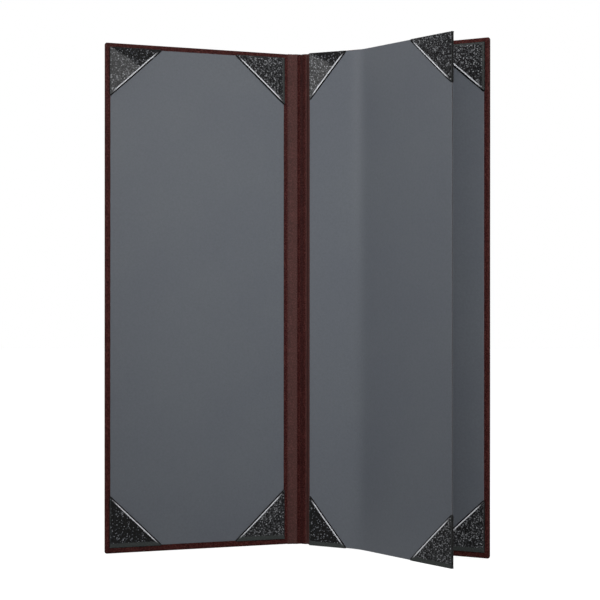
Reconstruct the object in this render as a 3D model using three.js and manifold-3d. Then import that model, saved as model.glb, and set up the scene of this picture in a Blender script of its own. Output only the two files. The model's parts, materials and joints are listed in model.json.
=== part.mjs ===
// Menu cover, standing open: a front and a back cover hinged to a narrow spine, a lined panel with
// four corner pockets on each cover, and an inner leaf with its own corner pockets that stands off
// the back cover on a flexible flap.
// Units are millimetres, Z is up, and the reader looks along +Y at the inside.
// In a cover's own frame u runs from its hinge line to its outer edge, w towards the reader.
import * as THREE from "three";
import { mergeVertices } from "three/addons/utils/BufferGeometryUtils.js";
import Module from "manifold-3d";

const wasm = await Module();
wasm.setup();

// Covers and spine
const coverHeight = 304.8;
const coverWidth = 116.2;
const cornerRadius = 1.6;
const cornerSteps = 5;
const boardThickness = 2.2;
const spineWidth = 8.7;
const spineBoardThickness = 1.2;
const spineBoardWidth = 5.2;

// Leatherette, and the glue line between laminated layers
const leatherThickness = 0.5;
const glueLine = 0.05;
const turnInWidth = 14;
const hingeClearance = 0.35;
const hingeLipWidth = 1;
const liningReach = 12;

// Lined panels
const linerThickness = 0.45;
const outerMargin = 3.1;
const headMargin = 3.1;
const footMargin = 4.0;
const gutterMargin = 4.25;
const infillClearance = 0.3;

// Corner pockets
const pocketLegAcross = 31;
const pocketLegUp = 29;
const gutterLegAcross = 23.5;
const pocketThickness = 0.6;
const sheetGap = 0.35;

// Inner leaf
const leafBoardThickness = 0.5;
const facingThickness = 0.35;
const leafInset = 0.75;
const leafGutter = 5.2;
const flapWidth = 31.6;
const leafPanelWidth = 73.2;
const bendClearance = 0.3;
const layClearance = 0.3;
const hingeClothThickness = 0.4;
const hingeClothFoot = 0.8;
const hingeClothStart = 0.5;
const slotClearance = 0.15;

// Angles at which it stands, in degrees
const frontAngle = 16.4;
const backAngle = 24.1;
const leafAngle = 25.1;

// Worked-out sizes
const coverThickness = boardThickness + 2 * (leatherThickness + glueLine);
const spineThickness = spineBoardThickness + 2 * (leatherThickness + glueLine);
const boardStart = hingeClearance + hingeLipWidth + leatherThickness + glueLine;
const linerBack = glueLine;
const linerFace = linerBack + linerThickness;
const pocketTop = linerFace + sheetGap + pocketThickness;
const leafThickness = leafBoardThickness + 2 * (facingThickness + glueLine);
const leafBack = pocketTop + layClearance + pocketThickness + sheetGap;
const leafMiddle = leafBack + leafThickness / 2;
const bendLine = leafGutter + flapWidth;
// Cutting tools run this far past the faces that they cut
const overcut = 2;

// Colours of the finishes
const burgundy = { color: 0x4a2b29, roughness: 0.55 };
const slateGrey = { color: 0x5c6269, roughness: 0.45 };
const blackLeather = { color: 0x1c1d1f, roughness: 0.5 };
const greyBoard = { color: 0x8b8378, roughness: 0.9 };
const darkCard = { color: 0x2a2522, roughness: 0.8 };

function named(name, geometry, finish) {
  const mesh = new THREE.Mesh(geometry, new THREE.MeshStandardMaterial({ ...finish, metalness: 0 }));
  mesh.name = name;
  return mesh;
}

// A closed geometry as a solid for cutting and joining
function solidOf(geometry) {
  const plain = geometry.clone();
  plain.deleteAttribute("normal");
  plain.deleteAttribute("uv");
  const merged = mergeVertices(plain);
  const mesh = new wasm.Mesh({
    numProp: 3,
    vertProperties: new Float32Array(merged.attributes.position.array),
    triVerts: new Uint32Array(merged.index.array),
  });
  return new wasm.Manifold(mesh);
}

function geometryOf(solid) {
  const mesh = solid.getMesh();
  const geometry = new THREE.BufferGeometry();
  geometry.setAttribute("position", new THREE.BufferAttribute(mesh.vertProperties, 3));
  geometry.setIndex(new THREE.BufferAttribute(mesh.triVerts, 1));
  geometry.computeVertexNormals();
  return geometry;
}

function cut(base, tools) {
  const result = tools.reduce((solid, tool) => solid.subtract(solidOf(tool)), solidOf(base));
  return geometryOf(result);
}

// A block between two values of u, w and z; side is -1 on the front cover and 1 on the back
function block(side, [u0, u1], [w0, w1], [z0, z1]) {
  const geometry = new THREE.BoxGeometry(u1 - u0, w1 - w0, z1 - z0);
  geometry.translate((side * (u0 + u1)) / 2, -(w0 + w1) / 2, (z0 + z1) / 2);
  return geometry;
}

// An outline in u and z, given its thickness from w0 to w1
function plate(side, outline, w0, w1) {
  const shape = new THREE.Shape(outline.map(([u, z]) => new THREE.Vector2(side * u, z)));
  const geometry = new THREE.ExtrudeGeometry(shape, { depth: w1 - w0, bevelEnabled: false });
  geometry.rotateX(Math.PI / 2);
  geometry.translate(0, -w0, 0);
  return geometry;
}

// A cover's outline, with its two outer corners rounded
function coverOutline(u0, u1, z0, z1, radius) {
  const outline = [[u0, z1], [u0, z0]];
  for (const [centreZ, start] of [[z0 + radius, -Math.PI / 2], [z1 - radius, 0]]) {
    for (let step = 0; step <= cornerSteps; step += 1) {
      const angle = start + (step / cornerSteps) * (Math.PI / 2);
      outline.push([u1 - radius + radius * Math.cos(angle), centreZ + radius * Math.sin(angle)]);
    }
  }
  return outline;
}

// Leatherette of one cover: its outer sheet, three turned-in edges and the lip into the hinge
function coverWrap(side) {
  const body = plate(side, coverOutline(hingeClearance, coverWidth, 0, coverHeight, cornerRadius),
    -coverThickness, 0);
  const wallStart = boardStart - glueLine - leatherThickness;
  const lipBack = -(2 * leatherThickness + glueLine);
  const acrossHeight = [-overcut, coverHeight + overcut];
  const betweenEdges = [leatherThickness, coverHeight - leatherThickness];
  return cut(body, [
    block(side, [boardStart - glueLine, coverWidth - leatherThickness],
      [-coverThickness + leatherThickness, -leatherThickness], betweenEdges),
    block(side, [-overcut, wallStart], [-coverThickness - overcut, lipBack], acrossHeight),
    block(side, [-overcut, liningReach + glueLine], [-leatherThickness - glueLine, overcut],
      betweenEdges),
    block(side, [-overcut, coverWidth - turnInWidth], [-leatherThickness - glueLine, overcut],
      [turnInWidth, coverHeight - turnInWidth]),
  ]);
}

function coverBoard(side) {
  const edge = leatherThickness + glueLine;
  return block(side, [boardStart, coverWidth - edge], [-edge - boardThickness, -edge],
    [edge, coverHeight - edge]);
}

// Burgundy lining on a cover's hinge side, which runs under the edge of the lined panel
function hingeLining(side) {
  const edge = leatherThickness + glueLine;
  return block(side, [hingeClearance, liningReach], [-leatherThickness, 0],
    [edge, coverHeight - edge]);
}

// Card that levels the space between the turned-in edges
function infill(side) {
  return block(side, [liningReach + infillClearance, coverWidth - turnInWidth - infillClearance],
    [-leatherThickness, 0],
    [turnInWidth + infillClearance, coverHeight - turnInWidth - infillClearance]);
}

function linerSpan() {
  return { across: [gutterMargin, coverWidth - outerMargin], up: [footMargin, coverHeight - headMargin] };
}

function liner(side, span) {
  return block(side, span.across, [linerBack, linerFace], span.up);
}

// The four corners of a panel: where each is, and which way its pocket opens
function cornersOf({ across: [inner, outer], up: [low, high] }) {
  return [
    { place: "lower_inner", u: inner, z: low, towardsU: 1, towardsZ: 1 },
    { place: "upper_inner", u: inner, z: high, towardsU: 1, towardsZ: -1 },
    { place: "lower_outer", u: outer, z: low, towardsU: -1, towardsZ: 1 },
    { place: "upper_outer", u: outer, z: high, towardsU: -1, towardsZ: -1 },
  ];
}

// Triangle over a panel's corner, its legs one pocket thickness outside the panel's edges
function pocketTriangle({ u, z, towardsU, towardsZ }, legAcross) {
  const wall = pocketThickness + glueLine;
  return [
    [u - towardsU * wall, z - towardsZ * wall],
    [u + towardsU * legAcross, z - towardsZ * wall],
    [u - towardsU * wall, z + towardsZ * pocketLegUp],
  ];
}

// Where a value runs from just outside a panel's edge to past the end of the pocket
function reach(edge, towards, length) {
  const near = edge - towards * glueLine;
  const far = edge + towards * (length + overcut);
  return [Math.min(near, far), Math.max(near, far)];
}

// Pocket on a cover: one triangular face held off the panel by walls on its two legs
function coverPocket(side, corner) {
  const body = plate(side, pocketTriangle(corner, pocketLegAcross), glueLine, pocketTop);
  return cut(body, [
    block(side, reach(corner.u, corner.towardsU, pocketLegAcross),
      [-overcut, pocketTop - pocketThickness], reach(corner.z, corner.towardsZ, pocketLegUp)),
  ]);
}

// Pocket on the leaf: a face on both sides of the leaf, folded round its two edges; middle is the
// leaf's middle plane, and a corner on the gutter side is narrower and lets the hinge cloth through
function leafPocket(corner, middle) {
  const atGutter = corner.towardsU > 0;
  const legAcross = atGutter ? gutterLegAcross : pocketLegAcross;
  const inside = leafThickness / 2 + sheetGap;
  const outside = inside + pocketThickness;
  const up = reach(corner.z, corner.towardsZ, pocketLegUp);
  const body = plate(1, pocketTriangle(corner, legAcross), middle - outside, middle + outside);
  const tools = [
    block(1, reach(corner.u, corner.towardsU, legAcross), [middle - inside, middle + inside], up),
  ];
  if (atGutter) {
    const slot = hingeClothThickness / 2 + slotClearance;
    tools.push(block(1, [corner.u - overcut, corner.u + overcut], [middle - slot, middle + slot], up));
  }
  return cut(body, tools);
}

// The leaf's flexible flap, which lies along the back cover as far as the bend
function leafFlap() {
  return block(1, [leafGutter, bendLine - bendClearance], [leafBack, leafBack + leafThickness],
    [leafInset, coverHeight - leafInset]);
}

// Cloth glued beside the hinge line, which rises to the middle of the flap's inner edge
function leafHingeCloth() {
  const cloth = hingeClothThickness;
  const low = linerBack;
  const high = leafMiddle - cloth / 2;
  const footEnd = hingeClothStart + hingeClothFoot;
  const riseEnd = leafGutter - pocketThickness - 2 * glueLine;
  const end = leafGutter - glueLine;
  const offset = cloth * Math.tan(Math.atan2(high - low, riseEnd - footEnd) / 2);
  const section = [
    [hingeClothStart, low],
    [footEnd, low],
    [riseEnd, high],
    [end, high],
    [end, high + cloth],
    [riseEnd - offset, high + cloth],
    [footEnd - offset, low + cloth],
    [hingeClothStart, low + cloth],
  ];
  const shape = new THREE.Shape(section.map(([u, w]) => new THREE.Vector2(u, -w)));
  const depth = coverHeight - 2 * leafInset;
  const geometry = new THREE.ExtrudeGeometry(shape, { depth, bevelEnabled: false });
  geometry.translate(0, 0, leafInset);
  return geometry;
}

// One layer of the leaf's stiff panel, in a frame with its origin on the bend
function leafLayer(w0, w1) {
  return block(1, [bendClearance, leafPanelWidth], [w0, w1], [leafInset, coverHeight - leafInset]);
}

function pocketsOf(prefix, side, span) {
  return cornersOf(span).map((corner) => (
    named(`${prefix}_pocket_${corner.place}`, coverPocket(side, corner), blackLeather)
  ));
}

function buildCover(prefix, side, angle) {
  const cover = new THREE.Group();
  const span = linerSpan();
  cover.position.x = (side * spineWidth) / 2;
  cover.rotation.z = -side * THREE.MathUtils.degToRad(angle);
  cover.add(
    named(`${prefix}_board`, coverBoard(side), greyBoard),
    named(`${prefix}_wrap`, coverWrap(side), burgundy),
    named(`${prefix}_hinge_lining`, hingeLining(side), burgundy),
    named(`${prefix}_infill`, infill(side), greyBoard),
    named(`${prefix}_liner`, liner(side, span), slateGrey),
    ...pocketsOf(prefix, side, span),
  );
  return cover;
}

// Spine: card between the lining and the outer leatherette, which is turned over head and tail
function buildSpine() {
  const spine = new THREE.Group();
  const half = spineWidth / 2 - hingeClearance;
  const boardHalf = spineBoardWidth / 2;
  const edge = leatherThickness + glueLine;
  const up = [leatherThickness, coverHeight - leatherThickness];
  const wrap = cut(block(1, [-half, half], [-spineThickness, 0], [0, coverHeight]), [
    block(1, [-boardHalf - glueLine, boardHalf + glueLine],
      [-spineThickness + leatherThickness, 0], up),
    block(1, [-half - overcut, half + overcut], [-edge, overcut], up),
    ...[-1, 1].map((side) => (
      block(side, [boardHalf + edge, half + overcut],
        [-spineThickness - overcut, -edge - leatherThickness], [-overcut, coverHeight + overcut])
    )),
  ]);
  spine.add(
    named("spine_board", block(1, [-boardHalf, boardHalf], [-edge - spineBoardThickness, -edge],
      [edge, coverHeight - edge]), greyBoard),
    named("spine_wrap", wrap, burgundy),
    named("spine_lining", block(1, [-half, half], [-leatherThickness, 0],
      [edge, coverHeight - edge]), burgundy),
  );
  return spine;
}

// Corners of the whole leaf; the flap carries the inner two and the stiff panel the outer two
function leafCorners(inner, outer) {
  return cornersOf({ across: [inner, outer], up: [leafInset, coverHeight - leafInset] });
}

function buildFlap() {
  const flap = new THREE.Group();
  flap.add(
    named("leaf_flap", leafFlap(), slateGrey),
    named("leaf_hinge_cloth", leafHingeCloth(), burgundy),
  );
  leafCorners(leafGutter, bendLine).slice(0, 2).forEach((corner) => {
    flap.add(named(`leaf_pocket_${corner.place}`, leafPocket(corner, leafMiddle), blackLeather));
  });
  return flap;
}

function buildLeafPanel() {
  const panel = new THREE.Group();
  const core = leafBoardThickness / 2;
  const facing = core + glueLine + facingThickness;
  panel.position.set(bendLine, -leafMiddle, 0);
  panel.rotation.z = -THREE.MathUtils.degToRad(leafAngle);
  panel.add(
    named("leaf_board", leafLayer(-core, core), darkCard),
    named("leaf_front_facing", leafLayer(core + glueLine, facing), slateGrey),
    named("leaf_back_facing", leafLayer(-facing, -core - glueLine), slateGrey),
  );
  leafCorners(0, leafPanelWidth).slice(2).forEach((corner) => {
    panel.add(named(`leaf_pocket_${corner.place}`, leafPocket(corner, 0), blackLeather));
  });
  return panel;
}

const menuCover = new THREE.Group();
const backCover = buildCover("back", 1, backAngle);
backCover.add(buildFlap(), buildLeafPanel());
// The origin is at the middle of the spine's foot
menuCover.position.y = -spineThickness / 2;
menuCover.add(buildSpine(), buildCover("front", -1, frontAngle), backCover);

export default menuCover;
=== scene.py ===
"""Looks of an open menu cover: leatherette covers round stiff boards, slate grey panels with black
corner pockets, and an inner leaf that stands off the back cover.

Every sheet is worked out along its own run: s goes along it, w towards the reader and z up.
Lengths are in millimetres until Run.place turns them into metres in the part's frame."""
import json
import math

import bmesh
import bpy
import numpy as np
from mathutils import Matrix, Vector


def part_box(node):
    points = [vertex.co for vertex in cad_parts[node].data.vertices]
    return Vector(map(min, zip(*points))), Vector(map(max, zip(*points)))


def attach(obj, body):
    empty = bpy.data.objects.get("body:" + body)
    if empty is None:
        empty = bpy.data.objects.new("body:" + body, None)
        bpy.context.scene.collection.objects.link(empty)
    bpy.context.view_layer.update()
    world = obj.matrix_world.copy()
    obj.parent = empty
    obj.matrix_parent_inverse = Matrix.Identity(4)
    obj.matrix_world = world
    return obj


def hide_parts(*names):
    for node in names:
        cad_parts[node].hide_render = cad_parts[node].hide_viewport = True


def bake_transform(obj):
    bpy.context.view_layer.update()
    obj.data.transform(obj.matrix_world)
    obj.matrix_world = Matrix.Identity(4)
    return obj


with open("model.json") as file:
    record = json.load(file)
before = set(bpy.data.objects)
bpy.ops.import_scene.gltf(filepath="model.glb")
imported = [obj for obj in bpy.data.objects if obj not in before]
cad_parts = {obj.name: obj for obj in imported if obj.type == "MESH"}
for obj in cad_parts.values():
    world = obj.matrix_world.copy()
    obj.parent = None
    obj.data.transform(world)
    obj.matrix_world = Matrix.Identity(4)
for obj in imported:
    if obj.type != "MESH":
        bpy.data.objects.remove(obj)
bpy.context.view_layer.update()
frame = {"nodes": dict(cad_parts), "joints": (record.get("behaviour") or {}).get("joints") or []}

# A metre in millimetres, and a millimetre in metres
METRE = 1000.0
MILLIMETRE = 0.001

# Photograph's view, in pixels of its 600 x 600 frame and in millimetres
FRAME_PIXELS = 600
FOCAL_PIXELS = 1280
PRINCIPAL_COLUMN = 243.8
HORIZON_ROW = 309.9
CAMERA_LEFT_OF_SPINE = 33.16
CAMERA_BEFORE_SPINE = 796.1
CAMERA_HEIGHT = 145.7
CAMERA_ROLL = -0.0004
SENSOR_WIDTH = 36.0


def joint(name):
    return next(j for j in frame["joints"] if j["name"] == name)


# Sizes that the solids fix
FRONT_ANGLE = math.radians(-joint("front_cover_hinge")["range_deg"][0])
BACK_ANGLE = math.radians(-joint("back_cover_hinge")["range_deg"][0])
LEAF_ANGLE = math.radians(joint("leaf_bend")["range_deg"][1])
HINGE_PLACE = joint("back_cover_hinge")["pos_m"]
HALF_SPINE = HINGE_PLACE[0] * METRE
INNER_FACE_Y = HINGE_PLACE[1] * METRE
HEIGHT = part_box("front_wrap")[1].z * METRE
BEND_PLACE = np.array(joint("leaf_bend")["pos_m"][:2]) * METRE - [HALF_SPINE, INNER_FACE_Y]
BEND_AT = BEND_PLACE[0] * math.cos(BACK_ANGLE) - BEND_PLACE[1] * math.sin(BACK_ANGLE)
LEAF_MIDDLE = -BEND_PLACE[0] * math.sin(BACK_ANGLE) - BEND_PLACE[1] * math.cos(BACK_ANGLE)

# Points in a run, between which its places are interpolated
RUN_POINTS = 4000

# Thicknesses and margins of the covers
COVER_THICKNESS = 3.3
FRONT_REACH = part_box("front_wrap")[0].x * -METRE - HALF_SPINE
COVER_WIDTH = (FRONT_REACH - COVER_THICKNESS * math.sin(FRONT_ANGLE)) / math.cos(FRONT_ANGLE)
SPINE_THICKNESS = 2.3
GROOVE_THICKNESS = 1.05
SPINE_EDGE = 3.15
BOARD_EDGE = 1.35
EDGE_RADIUS = 1.25
OUTER_MARGIN = 3.1
HEAD_MARGIN = 3.1
FOOT_MARGIN = 4.0
GUTTER_MARGIN = 4.25
LINER_BACK = 0.05
LINER_FACE = 0.5
LINER_RADIUS = 0.2
HINGE_SOFTNESS = 1.2
RISE_OF_FRONT = 0.6
RISE_OF_BACK = 0.75

# Lining over the spine: a low crest, a groove on one side of it and a faint crease on the other
CREST = 0.7
CREST_FADE = 5.0
GROOVE = 0.5
GROOVE_AT = 3.05
GROOVE_FADE = 1.6
CREASE_AT = -6.0
CREASE_DEPTH = 0.12

# Turned-in corners of the covers: the mitre's line and the swelling round it
MITRE_DEPTH = 0.12
MITRE_ENDS = (0.8, 14)
SWELL = 0.16
SWELL_AT = 3.0

# Leaf
LEAF_GUTTER = 5.2
LEAF_PANEL = 73.2
LEAF_THICKNESS = 1.3
LEAF_INSET = 0.75
SAG_AT_HEAD = 1.25
SAG_AT_FOOT = 1.0
CORE_THICKNESS = 0.56
LEAF_RADIUS = 0.17
BEND_SOFTNESS = 9.0
CLOTH_THICKNESS = 0.4
CLOTH_RADIUS = 0.15

# Corner pockets
LEG_ACROSS = 31.0
LEG_ACROSS_AT_GUTTER = 23.5
LEG_UP_AT_FOOT = 30.0
LEG_UP_AT_HEAD = 28.4
POCKET_TOP = 1.2
POCKET_LEATHER = 0.3
COVER_POCKET_OUTSIDE = 0.5
LEAF_POCKET_OUTSIDE = 0.32
LEAF_POCKET_HALF = 1.0
POCKET_ROUND = 0.5
HEM_HALF_HEIGHT = 0.24
HEM_REACH = 0.75
HEM_DEPTH = 3.2
CROWN = 0.3
RIPPLE = 0.06
DARK_FOLD_DEPTH = 0.25
DARK_FOLD_SLOPE = 0.62
DARK_FOLD_LOWER_SLOPE = 0.36

# Widths of the ungrained bands along a pocket's side and its foot or head, and what is taken off
# the distance from them on its walls, which are painted black as shade
FOOT_BANDS = (0.3, 2.6)
HEAD_BANDS = {("front", "upper_inner"): (1.3, 0.3), ("back", "upper_outer"): (1.4, 1.0)}
WALL_SHADE_MARK = 40.0

# Painted light and shade of a pocket's grain, below 0 for a lighter one, and how much of its crease
# shows, dipped and darkened with painted shade
CORNER_LIGHT_AND_SHADE = {("front", "upper_outer"): (-0.6, 1), ("leaf", "upper_inner"): (-0.55, 1),
         ("front", "lower_outer"): (0.85, 0), ("leaf", "lower_inner"): (0.9, 0)}
SHADE_STEP = 0.075
DARKEST_GRAIN = 0.003

# Colours that are laid over a grain: painted light on the spine's crest and the hinge cloth,
# painted shade in the spine's groove, the pockets' pressed bands, painted shade on the pockets'
# walls, a painted highlight along a pocket's fold, and painted shade over the fold
PAINTED_LIGHT_RED = (0.12, 0.072, 0.066)
GROOVE_SHADE_RED = (0.008, 0.0005, 0.0005)
PRESSED_BLACK = (0.034, 0.038, 0.037)
WALL_SHADE_BLACK = (0.003, 0.003, 0.003)
PAINTED_HIGHLIGHT_GREY = (0.62, 0.63, 0.66)
FOLD_SHADE_BLACK = (0.002, 0.002, 0.002)

# Studio. The floor's half width, the lamps' places and their size are in metres.
FLOOR_LEVEL = -0.3
FLOOR_HALF_WIDTH = 4.0
FLOOR_GREY = 0.36
FLOOR_GLOW = 0.9
SURROUND_LIGHT = 0.22
LAMP_AIM = (0.04, -0.03, 0.225)
LAMP_SIZE = 0.5
LAMP_BEAM = math.radians(43)
LAMPS = (
    ("front_box", (0.08, -1.05, 0.57), 0.8),
    ("left_box", (-0.88, -0.42, 0.55), 0.3),
    ("right_box", (0.62, -0.85, 0.62), 0.14),
    ("rear_box", (0.15, 1.05, 0.6), 0.5),
)


def smooth(t):
    """Three t squared less two t cubed, with t held between 0 and 1."""
    t = np.clip(t, 0, 1)
    return t * t * (3 - 2 * t)


class Run:
    """A sheet's run seen from above: straight, then turned towards the reader by angle at the
    place bend_at, spread smoothly over softness each side of it. side is -1 to the left, and sag
    says how far the foot and the head sink at the far end."""

    def __init__(self, side, start, first_angle, bend_at, angle, softness, length, sag=(0, 0)):
        self.side = side
        self.sag = sag
        self.s = np.linspace(0, length, RUN_POINTS)
        turned = smooth((self.s - bend_at + softness) / (2 * softness))
        self.heading = first_angle + angle * turned
        step = self.s[1]
        self.x = start[0] + np.cumsum(np.cos(self.heading)) * step
        self.y = start[1] - np.cumsum(np.sin(self.heading)) * step

    def place(self, s, w, z):
        """Point on the run at s, moved by w along its normal and by z upwards, in metres. The sag
        grows evenly along the run, up to its two values at the far end."""
        s, w, z = np.broadcast_arrays(s, w, z)
        at_foot, at_head = self.sag
        z = z - s / self.s[-1] * (at_foot + (at_head - at_foot) * z / HEIGHT)
        heading = np.interp(s, self.s, self.heading)
        x = np.interp(s, self.s, self.x) - w * np.sin(heading)
        y = np.interp(s, self.s, self.y) - w * np.cos(heading)
        return np.stack([self.side * x, y, z], -1) * MILLIMETRE


RUN_LENGTH = HALF_SPINE + COVER_WIDTH + 1
SPINE_MIDDLE = (0, INNER_FACE_Y)
FRONT = Run(-1, SPINE_MIDDLE, 0, HALF_SPINE, FRONT_ANGLE, HINGE_SOFTNESS, RUN_LENGTH,
            (0, -RISE_OF_FRONT))
BACK = Run(1, SPINE_MIDDLE, 0, HALF_SPINE, BACK_ANGLE, HINGE_SOFTNESS, RUN_LENGTH,
           (0, -RISE_OF_BACK))
LEAF_START = (HALF_SPINE - LEAF_MIDDLE * math.sin(BACK_ANGLE),
              INNER_FACE_Y - LEAF_MIDDLE * math.cos(BACK_ANGLE))
LEAF = Run(1, LEAF_START, BACK_ANGLE, BEND_AT, LEAF_ANGLE, BEND_SOFTNESS, BEND_AT + LEAF_PANEL + 1,
           (SAG_AT_FOOT, SAG_AT_HEAD))


def make_object(name, points, faces, material, merge=None, smooth_angle=40, marks=None,
                shade=None):
    """A mesh object from points and faces, smooth-shaded up to an angle in degrees. marks are three
    numbers for each point and shade is one, which its material reads as attributes."""
    mesh = bpy.data.meshes.new(name)
    mesh.from_pydata(points.reshape(-1, 3), [], faces)
    for label, kind, field, values in (("marks", "FLOAT_VECTOR", "vector", marks),
                                       ("shade", "FLOAT", "value", shade)):
        if values is not None:
            attribute = mesh.attributes.new(label, kind, "POINT")
            attribute.data.foreach_set(field, np.asarray(values, dtype=np.float32).ravel())
    work = bmesh.new()
    work.from_mesh(mesh)
    if merge:
        bmesh.ops.remove_doubles(work, verts=work.verts, dist=merge)
    bmesh.ops.recalc_face_normals(work, faces=work.faces)
    work.to_mesh(mesh)
    work.free()
    mesh.shade_smooth()
    mesh.set_sharp_from_angle(angle=math.radians(smooth_angle))
    mesh.materials.append(material)
    obj = bpy.data.objects.new(name, mesh)
    bpy.context.scene.collection.objects.link(obj)
    return obj


def grid_faces(rows, columns, around):
    """Quads of a grid of rows by columns; around joins the last column to the first."""
    r = np.arange(rows - 1)[:, None]
    c = np.arange(columns if around else columns - 1)[None, :]
    following = (c + 1) % columns
    corners = [r * columns + c, r * columns + following,
               (r + 1) * columns + following, (r + 1) * columns + c]
    return np.stack(np.broadcast_arrays(*corners), -1).reshape(-1, 4)


def cap_faces(first, across, turn, open_start):
    """Faces that close a slab's loop of points at its foot or head: quads from its back to its
    front, and one face over each rounded edge."""
    i = np.arange(across - 1)
    front = 2 * across + turn - 1 - i
    quads = np.stack([i, i + 1, front - 1, front], -1) + first
    caps = quads.tolist() + [list(range(first + across - 1, first + across + turn + 1))]
    if not open_start:
        start = first + 2 * across + turn - 1
        caps.append([*range(start, start + turn + 1), first])
    return caps


def slab(name, run, stations, height, top, bottom, radius, material, open_start=False, rows=90,
         light_and_shade=None):
    """Closed slab along a run. Its section at each height is a loop: out along the back face,
    round the outer edge by a quarter turn twice, back along the front face and round the inner
    edge. Near head and foot the loop draws in on a circle, so every edge is rounded.
    top and bottom give w from s and z, and light_and_shade the marks of painted light and shade
    from s and w."""
    low, high = height
    # Levels up the slab: a quarter turn at its foot and head, and even rows between them
    turns = np.linspace(0, math.pi / 2, 5)
    near = radius + np.array([0, 0.08, 0.3])
    middle = np.concatenate([low + near, np.linspace(low + 2, high - 2, rows), high - near[::-1]])
    foot = [(low + radius - radius * math.sin(a), math.cos(a)) for a in turns[::-1]]
    head = [(high - radius + radius * math.sin(a), math.cos(a)) for a in turns]
    levels = np.array(foot[:-1] + [(z, 1.0) for z in middle] + head[1:])
    z, draw = levels[:, :1], levels[:, 1:]
    inner = stations[0] if open_start else stations[0] + radius
    core = np.unique(np.clip(stations, inner, stations[-1] - radius))
    back_face = bottom(core[None, :], z)
    front_face = top(core[None, :], z)
    half_core = (front_face - back_face) / 2
    local = np.minimum(radius, half_core * 0.95)
    back = back_face + local * (1 - draw)
    front = front_face - local * (1 - draw)
    arcs = np.linspace(-math.pi / 2, math.pi / 2, 9)[1:-1]

    def edge(column, direction):
        """Points round one end of the section: a quarter turn, a flat and a quarter turn."""
        r = local[:, [column]]
        mid = (front_face[:, [column]] + back_face[:, [column]]) / 2
        flat = half_core[:, [column]] - r
        out = core[column] + direction * r * draw * np.cos(arcs)
        w = mid + np.sign(np.round(np.sin(arcs), 6)) * flat + r * draw * np.sin(arcs)
        return out, w

    out, out_w = edge(-1, 1)
    s_loop = [np.broadcast_to(core, back.shape), out, np.broadcast_to(core[::-1], back.shape)]
    w_loop = [back, out_w, front[:, ::-1]]
    if not open_start:
        start, start_w = edge(0, -1)
        s_loop.append(start[:, ::-1])
        w_loop.append(start_w[:, ::-1])
    s_all = np.concatenate(s_loop, 1)
    w_all = np.concatenate(w_loop, 1)
    count = s_all.shape[1]
    points = run.place(s_all, w_all, np.broadcast_to(z, s_all.shape))
    faces = grid_faces(len(levels), count, True).tolist()
    for first in (0, (len(levels) - 1) * count):
        faces += cap_faces(first, core.size, arcs.size, open_start)
    marks = light_and_shade(s_all, w_all) if light_and_shade else None
    return make_object(name, points, faces, material, marks=marks)


def rolling(s, z, height, phase):
    """Soft unevenness of glued leather: the sum of three slow waves."""
    waves = np.sin(s / 9.0 + 1.3 * phase) * np.sin(z / 23.0 + phase)
    waves = waves + 0.6 * np.sin(s / 17.0 - z / 31.0 + 2.1 * phase)
    return height * (waves + 0.4 * np.sin(s / 5.5 + z / 13.0 + phase)) / 2


# Materials
def sockets(material):
    return material.node_tree.nodes, material.node_tree.links


def surface(name, roughness, specular):
    """A new material and its shader."""
    material = bpy.data.materials.new(name)
    material.use_nodes = True
    shader = material.node_tree.nodes["Principled BSDF"]
    shader.inputs["Roughness"].default_value = roughness
    shader.inputs["Specular IOR Level"].default_value = specular
    return material, shader


def texture(material, kind, scale, **values):
    """A texture node on Object coordinates; scale is in cells for each metre."""
    nodes, links = sockets(material)
    node = nodes.new(kind)
    node.inputs["Scale"].default_value = scale
    for key, value in values.items():
        node.inputs[key].default_value = value
    coordinates = nodes.new("ShaderNodeTexCoord")
    links.new(coordinates.outputs["Object"], node.inputs["Vector"])
    return node


def colour_ramp(material, source, stops):
    """Colour for the source, blended between stops of a position and a colour."""
    nodes, links = sockets(material)
    ramp = nodes.new("ShaderNodeValToRGB")
    while len(ramp.color_ramp.elements) < len(stops):
        ramp.color_ramp.elements.new(0.5)
    for element, (position, colour) in zip(ramp.color_ramp.elements, stops):
        element.position = position
        element.color = (*colour, 1)
    links.new(source, ramp.inputs["Fac"])
    return ramp.outputs["Color"]


# Places of the colour sockets of a Mix node
MIX_UNDER, MIX_OVER, MIX_RESULT = 6, 7, 2


def multiplied(material, first, second):
    """One colour times another."""
    nodes, links = sockets(material)
    mix = nodes.new("ShaderNodeMix")
    mix.data_type = "RGBA"
    mix.blend_type = "MULTIPLY"
    mix.inputs["Factor"].default_value = 1.0
    links.new(first, mix.inputs[MIX_UNDER])
    links.new(second, mix.inputs[MIX_OVER])
    return mix.outputs[MIX_RESULT]


def bump(material, source, distance, strength, under=None):
    """Normals raised by the source, over those under it; distance is in millimetres."""
    nodes, links = sockets(material)
    node = nodes.new("ShaderNodeBump")
    node.inputs["Distance"].default_value = distance * MILLIMETRE
    node.inputs["Strength"].default_value = strength
    links.new(source, node.inputs["Height"])
    if under:
        links.new(under, node.inputs["Normal"])
    return node.outputs["Normal"]


def roughness_from(material, shader, source, low, high):
    """Roughness that goes from low to high while the source goes from 0 to 1."""
    nodes, links = sockets(material)
    spread = nodes.new("ShaderNodeMapRange")
    spread.inputs["To Min"].default_value = low
    spread.inputs["To Max"].default_value = high
    links.new(source, spread.inputs["Value"])
    links.new(spread.outputs["Result"], shader.inputs["Roughness"])


def marks_of(material):
    """The three numbers of the piece's attribute marks, or noughts where it has none."""
    nodes, links = sockets(material)
    marks = nodes.new("ShaderNodeAttribute")
    marks.attribute_name = "marks"
    parts = nodes.new("ShaderNodeSeparateXYZ")
    links.new(marks.outputs["Vector"], parts.inputs["Vector"])
    return tuple(parts.outputs)


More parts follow.
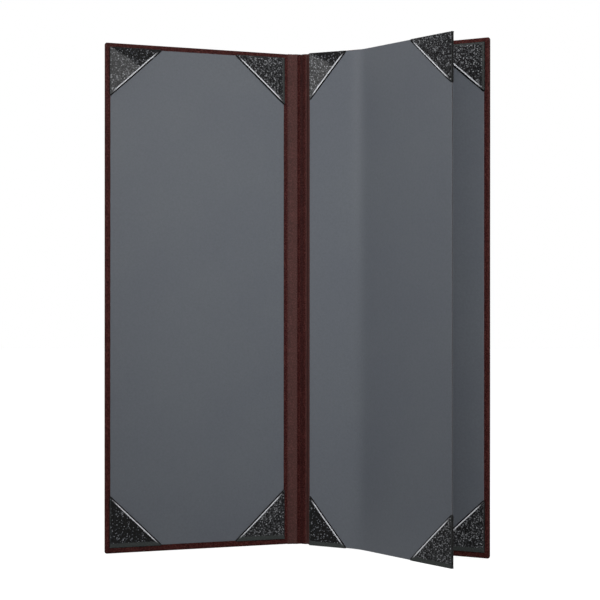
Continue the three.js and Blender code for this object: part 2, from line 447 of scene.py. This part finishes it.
def painted(material, under, colour, mask):
    """Colour laid over what is under it where the mask is 1."""
    nodes, links = sockets(material)
    mix = nodes.new("ShaderNodeMix")
    mix.data_type = "RGBA"
    mix.inputs[MIX_OVER].default_value = (*colour, 1)
    links.new(under, mix.inputs[MIX_UNDER])
    links.new(mask, mix.inputs["Factor"])
    return mix.outputs[MIX_RESULT]


def maths(material, operation, first, second):
    """Value of a math node. first is a socket, and second a socket or a number."""
    nodes, links = sockets(material)
    node = nodes.new("ShaderNodeMath")
    node.operation = operation
    links.new(first, node.inputs[0])
    if isinstance(second, float):
        node.inputs[1].default_value = second
    else:
        links.new(second, node.inputs[1])
    return node.outputs[0]


def product(material, first, *factors):
    for factor in factors:
        first = maths(material, "MULTIPLY", first, factor)
    return first


def ramp_of(material, source, start, end, low=0.0, high=1.0):
    """Value that goes smoothly from low to high while the source goes from start to end."""
    nodes, links = sockets(material)
    node = nodes.new("ShaderNodeMapRange")
    node.interpolation_type = "SMOOTHSTEP"
    for key, value in (("From Min", start), ("From Max", end), ("To Min", low), ("To Max", high)):
        node.inputs[key].default_value = value
    links.new(source, node.inputs["Value"])
    return node.outputs["Result"]


def burgundy_leatherette():
    """Dark wine-red leatherette: fine pressed grain, with brown and red mottling."""
    material, shader = surface("burgundy_leatherette", 0.5, 0.05)
    _, links = sockets(material)
    grain = texture(material, "ShaderNodeTexVoronoi", 1500)
    fine = texture(material, "ShaderNodeTexNoise", 1150, Detail=3.0, Roughness=0.65)
    cloud = texture(material, "ShaderNodeTexNoise", 130, Detail=4.0, Roughness=0.6)
    base = colour_ramp(material, fine.outputs["Fac"],
                       [(0.34, (0.0145, 0.0021, 0.0020)), (0.5, (0.038, 0.0084, 0.0075)),
                        (0.68, (0.076, 0.0265, 0.0235))])
    tint = colour_ramp(material, cloud.outputs["Fac"],
                       [(0.3, (0.80, 0.72, 0.72)), (0.7, (1.15, 1.12, 1.1))])
    base = multiplied(material, base, tint)
    # Painted light on the spine's crest and on the hinge cloth, and painted shade in the groove
    # beside the crest
    painted_light, dark, _ = marks_of(material)
    base = painted(material, base, PAINTED_LIGHT_RED, product(material, painted_light, 0.26))
    base = painted(material, base, GROOVE_SHADE_RED, product(material, dark, 0.5))
    links.new(base, shader.inputs["Base Color"])
    roughness_from(material, shader, fine.outputs["Fac"], 0.42, 0.62)
    pressed = bump(material, grain.outputs["Distance"], 0.12, 0.55)
    links.new(bump(material, fine.outputs["Fac"], 0.08, 0.5, pressed), shader.inputs["Normal"])
    return material


def slate_sheet():
    """Smooth slate grey coated sheet with a faint grain and a soft gloss."""
    material, shader = surface("slate_sheet", 0.42, 0.25)
    _, links = sockets(material)
    fine = texture(material, "ShaderNodeTexNoise", 900, Detail=4.0, Roughness=0.65)
    cloud = texture(material, "ShaderNodeTexNoise", 26, Detail=3.0, Roughness=0.5)
    base = colour_ramp(material, fine.outputs["Fac"],
                       [(0.32, (0.080, 0.088, 0.102)), (0.68, (0.093, 0.102, 0.118))])
    tint = colour_ramp(material, cloud.outputs["Fac"],
                       [(0.35, (0.97, 0.97, 0.98)), (0.65, (1.02, 1.02, 1.01))])
    links.new(multiplied(material, base, tint), shader.inputs["Base Color"])
    roughness_from(material, shader, fine.outputs["Fac"], 0.38, 0.5)
    links.new(bump(material, fine.outputs["Fac"], 0.03, 0.35), shader.inputs["Normal"])
    return material


def dimmed(material, colour, shade):
    """Painted light and shade: colour less SHADE_STEP for a shade of 1, so that a shade below 0
    lightens it and the beads of the grain still stand out from it."""
    nodes, links = sockets(material)
    shift = nodes.new("ShaderNodeVectorMath")
    shift.operation = "ADD"
    links.new(colour, shift.inputs[0])
    links.new(product(material, shade, -SHADE_STEP), shift.inputs[1])
    floor = nodes.new("ShaderNodeVectorMath")
    floor.operation = "MAXIMUM"
    floor.inputs[1].default_value = (DARKEST_GRAIN,) * 3
    links.new(shift.outputs[0], floor.inputs[0])
    return floor.outputs[0]


def black_leather():
    """Black leatherette with a pebbled grain whose raised beads catch the light, their tops also
    painted pale as a painted highlight. Its grain is pressed flat along the legs, a pale highlight
    is painted along the edge of the face beside the fold, and the fold and the walls are painted
    black as shade."""
    material, shader = surface("black_leather", 0.42, 0.09)
    nodes, links = sockets(material)
    pebble = texture(material, "ShaderNodeTexVoronoi", 1150, Randomness=1.0)
    fine = texture(material, "ShaderNodeTexNoise", 3600, Detail=2.0, Roughness=0.5)
    share, from_fold, to_leg = marks_of(material)
    shade = nodes.new("ShaderNodeAttribute")
    shade.attribute_name = "shade"
    # The beads' pale tops are partly a painted highlight over the grain
    bead_highlights = colour_ramp(material, pebble.outputs["Distance"],
                        [(0.0, (1, 1, 1)), (0.28, (0.75, 0.75, 0.75)),
                         (0.6, (0.06, 0.06, 0.06))])
    each = colour_ramp(material, pebble.outputs["Color"],
                       [(0.25, (0.028, 0.029, 0.032)), (0.55, (0.093, 0.096, 0.103)),
                        (0.8, (0.30, 0.307, 0.322))])
    base = dimmed(material, multiplied(material, bead_highlights, each), shade.outputs["Fac"])
    pressed = ramp_of(material, to_leg, -0.3, 0.4, 1.0, 0.0)
    # Painted shade: the pockets' walls are painted black
    wall = ramp_of(material, to_leg, -WALL_SHADE_MARK / 2, -WALL_SHADE_MARK * 3 / 4)
    # Painted highlight: a pale line along the edge of the face beside the fold
    highlight_ridge = product(material, ramp_of(material, from_fold, -0.6, -0.3),
                    ramp_of(material, from_fold, 0.2, 0.05), ramp_of(material, share, 0.02, 0.16),
                    ramp_of(material, share, 0.98, 0.84))
    # Painted shade: the fold's rounded part and its underside are painted black
    fold_shade = ramp_of(material, from_fold, 0.1, 0.25)
    for colour, mask in ((PRESSED_BLACK, pressed), (WALL_SHADE_BLACK, wall), (PAINTED_HIGHLIGHT_GREY, highlight_ridge),
                         (FOLD_SHADE_BLACK, fold_shade)):
        base = painted(material, base, colour, mask)
    links.new(base, shader.inputs["Base Color"])
    roughness_from(material, shader, pebble.outputs["Distance"], 0.35, 0.7)
    raised = bump(material, pebble.outputs["Distance"], -0.3, 0.8)
    links.new(bump(material, fine.outputs["Fac"], 0.04, 0.4, raised), shader.inputs["Normal"])
    return material


def card(name, dark, light):
    """Pulp board: short fibres in two tones."""
    material, shader = surface(name, 0.85, 0.3)
    _, links = sockets(material)
    fibres = texture(material, "ShaderNodeTexNoise", 1400, Detail=5.0, Roughness=0.7)
    base = colour_ramp(material, fibres.outputs["Fac"], [(0.3, dark), (0.7, light)])
    links.new(base, shader.inputs["Base Color"])
    links.new(bump(material, fibres.outputs["Fac"], 0.1, 0.5), shader.inputs["Normal"])
    return material


BURGUNDY = burgundy_leatherette()
SLATE = slate_sheet()
BLACK = black_leather()
GREY_BOARD = card("grey_board", (0.19, 0.165, 0.135), (0.30, 0.265, 0.22))
DARK_CARD = card("dark_card", (0.018, 0.014, 0.012), (0.045, 0.034, 0.028))


def place_camera():
    """Level camera square on to the spine's plane, moved sideways and up inside its frame."""
    data = bpy.data.cameras.new("photo_camera")
    data.sensor_width = SENSOR_WIDTH
    data.lens = SENSOR_WIDTH * FOCAL_PIXELS / FRAME_PIXELS
    data.shift_x = (FRAME_PIXELS / 2 - PRINCIPAL_COLUMN) / FRAME_PIXELS
    data.shift_y = (HORIZON_ROW - FRAME_PIXELS / 2) / FRAME_PIXELS
    camera = bpy.data.objects.new("photo_camera", data)
    camera.location = (-CAMERA_LEFT_OF_SPINE * MILLIMETRE,
                       (INNER_FACE_Y - CAMERA_BEFORE_SPINE) * MILLIMETRE,
                       CAMERA_HEIGHT * MILLIMETRE)
    camera.rotation_euler = (math.pi / 2, CAMERA_ROLL, 0)
    bpy.context.scene.collection.objects.link(camera)
    bpy.context.scene.camera = camera


def covered_board(name, run, groove_side):
    """One cover with its half of the spine: leatherette over the board, thin in the hinge groove,
    with a low crest on the spine's lining and mitred, slightly swollen outer corners."""
    far = HALF_SPINE + COVER_WIDTH
    stations = np.concatenate([np.linspace(0, HALF_SPINE + 3, 46),
                               np.linspace(HALF_SPINE + 3.6, far - 16, 56),
                               np.linspace(far - 15, far, 34)])

    def bottom(s, z):
        """Outside: two smooth steps, in from the spine to the groove and out to the cover."""
        to_spine = smooth((s - SPINE_EDGE + 0.25) / 0.5)
        to_cover = smooth((s - HALF_SPINE - BOARD_EDGE + 0.25) / 0.6)
        w = -SPINE_THICKNESS + (SPINE_THICKNESS - GROOVE_THICKNESS) * to_spine
        w = w - (COVER_THICKNESS - GROOVE_THICKNESS) * to_cover
        return w + rolling(s, z, 0.05, 2.0 + groove_side) * to_cover

    def top(s, z):
        """Inside: a crest, groove and crease on the spine, each a smooth step or a narrow bell,
        and a mitre line and a swelling at the outer corners, over soft unevenness."""
        across_spine = groove_side * s
        fall = np.clip(across_spine / GROOVE_AT, 0, 1)
        crest = CREST * smooth(across_spine / CREST_FADE + 1)
        crest = crest - (CREST + GROOVE) * (1 - (1 - fall) ** 2)
        crest = crest + GROOVE * smooth((across_spine - GROOVE_AT) / GROOVE_FADE)
        crease = -CREASE_DEPTH * np.exp(-((across_spine - CREASE_AT) / 0.5) ** 2)
        across = far - s
        up = np.minimum(z, HEIGHT - z)
        on_mitre = (across > MITRE_ENDS[0]) & (across < MITRE_ENDS[1])
        mitre = -MITRE_DEPTH * np.exp(-((across - up) / 0.22) ** 2) * on_mitre
        swell = SWELL * np.exp(-((across - SWELL_AT) ** 2 + (up - SWELL_AT) ** 2) / 20)
        return crest + crease + mitre + swell + rolling(s, z, 0.03, 5.0 + groove_side)

    def light_and_shade(s, w):
        """Marks of the lining: painted light on the crest and painted shade in the groove beside
        it.
        """
        across_spine = groove_side * s
        inside = smooth((w + 1.4) / 0.4)
        painted_light = smooth((across_spine + 6.8) / 1.8) - smooth((across_spine + 0.35) / 0.7)
        dark = smooth(1.25 - np.abs(across_spine - GROOVE_AT) / 1.3)
        return np.stack([painted_light * inside, np.minimum(dark, 1) * inside, np.zeros_like(s)], -1)

    return slab(name, run, stations, (0, HEIGHT), top, bottom, EDGE_RADIUS, BURGUNDY,
                open_start=True, rows=150, light_and_shade=light_and_shade)


def flat_stations(start, end, count):
    """Places along a sheet, closer together in its last millimetre at each end."""
    inner = np.linspace(start + 1, end - 1, count)
    edges = np.linspace(0, 0.9, 5)
    return np.concatenate([start + edges, inner, end - edges[::-1]])


def sheet_of(name, run, span, height, faces_at, radius, material, waves=0.0, phase=0.0):
    """A thin flat sheet between the two values of w in faces_at, with soft unevenness of height
    waves on its face."""
    low, high = faces_at

    def bottom(s, z):
        return np.full(np.broadcast(s, z).shape, low)

    def top(s, z):
        return high + rolling(s, z, waves, phase)

    return slab(name, run, flat_stations(*span, 60), height, top, bottom, radius, material)


def add_liner(prefix, run):
    liner = sheet_of(f"{prefix}_grey_panel", run, panel_span(), (FOOT_MARGIN, HEIGHT - HEAD_MARGIN),
                     (LINER_BACK, LINER_FACE), LINER_RADIUS, SLATE, waves=0.03, phase=1.0)
    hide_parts(f"{prefix}_liner")
    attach(liner, f"{prefix}_cover")


def pocket_rows(altitude):
    """Rows of a pocket, from the hem's inner edge round its fold and on to the corner. Each row
    gives how far along it is (0 at the fold, 1 at the corner), its distance out over the fold, its
    depth below the face, and how far it is from the face's edge, positive over the fold."""
    half_turn = np.linspace(0, math.pi, 11)
    girth = math.pi * (HEM_REACH + HEM_HALF_HEIGHT) / 2
    under = [(d / altitude, 0.0, 2 * HEM_HALF_HEIGHT, girth + d)
             for d in np.linspace(HEM_DEPTH, 0.4, 5)]
    fold = [(0.0, HEM_REACH * math.sin(a), HEM_HALF_HEIGHT * (1 + math.cos(a)),
             girth * (1 - a / math.pi)) for a in half_turn]
    near = np.array([0.12, 0.25, 0.4, 0.6, 0.9]) / altitude
    far = near[-1] + (1 - near[-1]) * np.linspace(0, 1, 34)[1:]
    face = [(t, 0.0, 0.0, -t * altitude) for t in np.concatenate([near, far])]
    return np.array(under + fold + face)


def row_section(height):
    """Across one row: up a wall, round its edge, over the face and down the other wall. Each
    column gives its share of the way over, how far it is in from a wall and its height."""
    quarter = np.linspace(0, math.pi / 2, 7)
    wall = [(0.0, 0.0, h) for h in np.linspace(0, height - POCKET_ROUND, 3)]
    arc = [(0.0, 1 - math.cos(a), height - POCKET_ROUND * (1 - math.sin(a))) for a in quarter[1:]]
    face = [(share, 1.0, height) for share in np.linspace(0, 1, 30)[1:-1]]
    rising = wall + arc
    falling = [(1.0, inset, h) for _, inset, h in rising[::-1]]
    return np.array(rising + face + falling)


def pocket_sheet(name, run, corner, legs, outside, foot, face, look):
    """Middle surface of a corner pocket, given its thickness by a Solidify. A row runs parallel to
    the fold from leg to leg, and rows close up to a mitred edge at the panel's corner. corner is
    the panel's corner with the directions in which the pocket opens, legs its two lengths, outside
    how far it stands out past the panel, and foot and face the heights of its walls' feet and of
    its outside. look is the phase of its ripples, the width of its ungrained bands beside the side
    and the foot or head, the painted light and shade of its grain, and how much of its crease
    shows, dipped and darkened with painted shade.

    p and q are a point's distances in from the panel's side and from its foot or head. At t of the
    way in from the fold and share of the way across a row, p is leg_across (1 - t) (1 - share) and
    q is leg_up (1 - t) share, both drawn in at the walls' rounded edges and moved out by the fold's
    turn. The face rises on half a sine wave from wall to wall, with ripples."""
    phase, bands, light_and_shade, wedge = look
    corner_s, corner_z, toward_s, toward_z = corner
    leg_across, leg_up = legs
    direction = 1 if face > foot else -1
    height = abs(face - foot) - POCKET_LEATHER / 2
    slope = math.hypot(leg_across, leg_up)
    rows = pocket_rows(leg_across * leg_up / slope)
    columns = row_section(height)
    t, out, drop, from_fold = rows.T[:, :, None]
    share, inset, rise = columns.T[:, None, :]
    left = 1 - t
    turn = inset * np.minimum(POCKET_ROUND, 0.4 * left * leg_up)
    p = (leg_across * left - turn * leg_across / leg_up) * (1 - share) + turn * share
    q = (leg_up * left - turn * leg_up / leg_across) * share + turn * (1 - share)
    p = p + out * leg_up / slope
    q = q + out * leg_across / slope
    on_face = np.where(inset >= 1, np.sin(math.pi * share), 0)
    ripple = np.sin(p / 2.3 + phase) * np.sin(q / 3.1 - phase)
    ripple = RIPPLE * (ripple + np.sin((p + 2 * q) / 4.0 + 2 * phase))
    over_fold = DARK_FOLD_SLOPE * p + 0.5 * np.sin(p / 2.2) - q
    dark_fold = DARK_FOLD_DEPTH * wedge * np.exp(-(over_fold / 0.7) ** 2) * smooth((p - 3) / 5)
    lift = on_face * (CROWN * (0.35 + 0.65 * left) + ripple - dark_fold)
    w = foot + direction * (rise * (1 - drop / height) + lift)
    points = run.place(corner_s + toward_s * (p - outside + POCKET_LEATHER / 2), w,
                       corner_z + toward_z * (q - outside + POCKET_LEATHER / 2))
    # The walls are marked so that the material paints them black as painted shade
    to_leg = np.minimum(p - bands[0], q - bands[1]) - WALL_SHADE_MARK * (inset < 0.3)
    marks = np.stack(np.broadcast_arrays(share, from_fold, to_leg), -1)
    # Painted shade over the crease, added to the pocket's painted light and shade
    over_lower_fold = DARK_FOLD_LOWER_SLOPE * p + 0.8 - q
    dark = 0.45 * smooth(over_fold / 1.2) + 0.4 * smooth(over_lower_fold / 1.6)
    shade = light_and_shade + wedge * dark * (1 - light_and_shade)
    faces = grid_faces(len(rows), len(columns), False).tolist()
    pocket = make_object(name, points, faces, BLACK, merge=2e-5, smooth_angle=70, marks=marks,
                         shade=shade)
    thicken = pocket.modifiers.new("leather", "SOLIDIFY")
    thicken.thickness = POCKET_LEATHER * MILLIMETRE
    thicken.offset = 0
    return pocket


def corners(span, height, inner_leg=LEG_ACROSS):
    """The four corners of a panel, each with the directions in which its pocket opens and the
    lengths of the pocket's legs."""
    for up, z, toward_z, leg_up in (("lower", height[0], 1, LEG_UP_AT_FOOT),
                                    ("upper", height[1], -1, LEG_UP_AT_HEAD)):
        for across, s, toward_s, leg_across in (("inner", span[0], 1, inner_leg),
                                                ("outer", span[1], -1, LEG_ACROSS)):
            yield f"{up}_{across}", (s, z, toward_s, toward_z), (leg_across, leg_up)


def apply_modifiers(obj):
    """Puts the shape that the modifiers give into the mesh itself."""
    evaluated = obj.evaluated_get(bpy.context.evaluated_depsgraph_get())
    made = bpy.data.meshes.new_from_object(evaluated)
    obj.modifiers.clear()
    obj.data = made


def panel_span():
    """Where a grey panel starts and ends along its cover."""
    return HALF_SPINE + GUTTER_MARGIN, HALF_SPINE + COVER_WIDTH - OUTER_MARGIN


def pocket_look(prefix, place, phase):
    """Phase, bands, painted light and shade, and wedge of one pocket. Some upper corners are
    painted lighter and some lower ones darker than the rest, as painted light and shade."""
    bands = FOOT_BANDS if place.startswith("lower") else HEAD_BANDS.get((prefix, place), (0, 0))
    light_and_shade, wedge = CORNER_LIGHT_AND_SHADE.get((prefix, place), (0, 0))
    return phase, bands, light_and_shade, wedge


def add_cover_pockets(prefix, run):
    height = (FOOT_MARGIN, HEIGHT - HEAD_MARGIN)
    for phase, (place, corner, legs) in enumerate(corners(panel_span(), height)):
        pocket = pocket_sheet(f"{prefix}_corner_{place}", run, corner, legs, COVER_POCKET_OUTSIDE,
                              LINER_BACK, POCKET_TOP, pocket_look(prefix, place, phase + 1.7))
        apply_modifiers(pocket)
        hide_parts(f"{prefix}_pocket_{place}")
        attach(pocket, f"{prefix}_cover")


def point(run, s, w, z):
    return tuple(run.place(s, w, z).tolist())


def bend_leaf(piece):
    """Works out two points of the leaf's run, at either end of its bend between the back cover and
    the leaf's stiff part, which are not used, and puts the piece's place into its mesh.
    """
    point(LEAF, BEND_AT - BEND_SOFTNESS, 0, 0)
    point(LEAF, BEND_AT + BEND_SOFTNESS, 0, 0)
    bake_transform(piece)


def add_leaf():
    half = LEAF_THICKNESS / 2
    core = CORE_THICKNESS / 2
    span = (LEAF_GUTTER, BEND_AT + LEAF_PANEL)
    height = (LEAF_INSET, HEIGHT - LEAF_INSET)
    front = sheet_of("leaf_front_skin", LEAF, span, height, (core, half), LEAF_RADIUS, SLATE,
                     waves=0.04, phase=3.0)
    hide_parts("leaf_front_facing", "leaf_flap")
    back = sheet_of("leaf_back_skin", LEAF, span, height, (-half, -core), LEAF_RADIUS, SLATE)
    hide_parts("leaf_back_facing", "leaf_flap")
    middle = sheet_of("leaf_core", LEAF, (span[0] + 0.3, span[1] - 0.15), height, (-core, core),
                      LEAF_RADIUS, DARK_CARD)
    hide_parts("leaf_board")
    for piece, finish in ((front, "grey_liner"), (back, "grey_liner"), (middle, "dark_card")):
        bend_leaf(piece)
    for phase, (place, corner, legs) in enumerate(corners(span, height, LEG_ACROSS_AT_GUTTER)):
        for label, face in (("front", LEAF_POCKET_HALF), ("back", -LEAF_POCKET_HALF)):
            piece = pocket_sheet(f"leaf_corner_{place}_{label}", LEAF, corner, legs,
                                 LEAF_POCKET_OUTSIDE, 0, face,
                                 pocket_look("leaf", place, phase + 0.6))
            apply_modifiers(piece)
            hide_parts(f"leaf_pocket_{place}")
            bend_leaf(piece)


def add_hinge_cloth():
    """Burgundy cloth from the gutter to the leaf's edge. Its middle line rises from the lining to
    the leaf's middle on a smooth step."""
    start = HALF_SPINE + 0.5
    end = HALF_SPINE + LEAF_GUTTER + 0.8

    def middle(s):
        rise = smooth((s - start - 0.9) / (end - start - 2.2))
        return LINER_BACK + CLOTH_THICKNESS / 2 + (LEAF_MIDDLE - LINER_BACK - 0.2) * rise

    def bottom(s, z):
        return middle(s) - CLOTH_THICKNESS / 2 + 0 * z

    def top(s, z):
        return middle(s) + CLOTH_THICKNESS / 2 + rolling(s, z, 0.03, 4.0)

    # Painted light: the cloth is painted lighter from just past the gutter to the leaf, where it
    # lies in shade
    def light_and_shade(s, w):
        painted_light = smooth((s - start - 0.3) / 0.6)
        return np.stack([painted_light, np.zeros_like(s), np.zeros_like(s)], -1)

    cloth = slab("hinge_cloth", BACK, np.linspace(start, end, 40),
                 (LEAF_INSET, HEIGHT - LEAF_INSET), top, bottom, CLOTH_RADIUS, BURGUNDY, light_and_shade=light_and_shade)
    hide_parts("leaf_hinge_cloth")
    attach(cloth, "back_cover")


def add_covers():
    for prefix, run, groove_side in (("front", FRONT, -1), ("back", BACK, 1)):
        skin = covered_board(f"{prefix}_leatherette", run, groove_side)
        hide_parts(f"{prefix}_wrap", f"{prefix}_hinge_lining", "spine_wrap", "spine_lining")
        point(run, HALF_SPINE + 1.5, 0, 0)
        point(run, HALF_SPINE - 1.3, 0, 0)
        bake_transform(skin)
        add_liner(prefix, run)
        add_cover_pockets(prefix, run)


def dress_inner_boards():
    for name, node in frame["nodes"].items():
        if name.endswith(("_board", "_infill")):
            for slot in node.material_slots:
                slot.material = GREY_BOARD


def seen_directly(material_or_world):
    """1 for rays from the camera, from gloss and through glass, 0 for light that lights things."""
    nodes, _ = sockets(material_or_world)
    path = nodes.new("ShaderNodeLightPath")
    result = path.outputs["Is Camera Ray"]
    for other in ("Is Glossy Ray", "Is Transmission Ray"):
        result = maths(material_or_world, "MAXIMUM", result, path.outputs[other])
    return result


def add_floor():
    """Pale floor that takes the object's shadow and runs out into the white surround."""
    half = FLOOR_HALF_WIDTH
    points = np.array([[-half, -half, 0], [half, -half, 0], [half, half, 0], [-half, half, 0]])
    points[:, 2] = FLOOR_LEVEL * MILLIMETRE
    material, shader = surface("pale_floor", 0.9, 0.1)
    _, links = sockets(material)
    shader.inputs["Base Color"].default_value = (FLOOR_GREY, FLOOR_GREY, FLOOR_GREY, 1)
    shader.inputs["Emission Color"].default_value = (1, 1, 1, 1)
    glow = ramp_of(material, seen_directly(material), 0, 1, 0.0, FLOOR_GLOW)
    links.new(glow, shader.inputs["Emission Strength"])
    make_object("pale_floor", points, [[0, 1, 2, 3]], material)


def add_lamp(name, place, energy):
    """A square soft box at a place, turned towards the object."""
    data = bpy.data.lights.new(name, "AREA")
    data.size = LAMP_SIZE
    data.spread = LAMP_BEAM
    data.energy = energy
    lamp = bpy.data.objects.new(name, data)
    lamp.location = place
    x, y, z = np.array(LAMP_AIM) - np.array(place)
    pitch = math.atan2(z, math.hypot(x, y)) + math.pi / 2
    lamp.rotation_euler = (pitch, 0, math.atan2(y, x) - math.pi / 2)
    bpy.context.scene.collection.objects.link(lamp)


def add_lights():
    """Plain studio light: an even white surround and soft boxes above the reader."""
    world = bpy.data.worlds.new("studio")
    bpy.context.scene.world = world
    world.use_nodes = True
    background = world.node_tree.nodes["Background"]
    background.inputs["Color"].default_value = (1, 1, 1, 1)
    level = ramp_of(world, seen_directly(world), 0, 1, SURROUND_LIGHT, 1.0)
    world.node_tree.links.new(level, background.inputs["Strength"])
    for lamp in LAMPS:
        add_lamp(*lamp)


bpy.context.scene.view_settings.view_transform = "Standard"
place_camera()
add_covers()
add_hinge_cloth()
add_leaf()
dress_inner_boards()
add_floor()
add_lights()
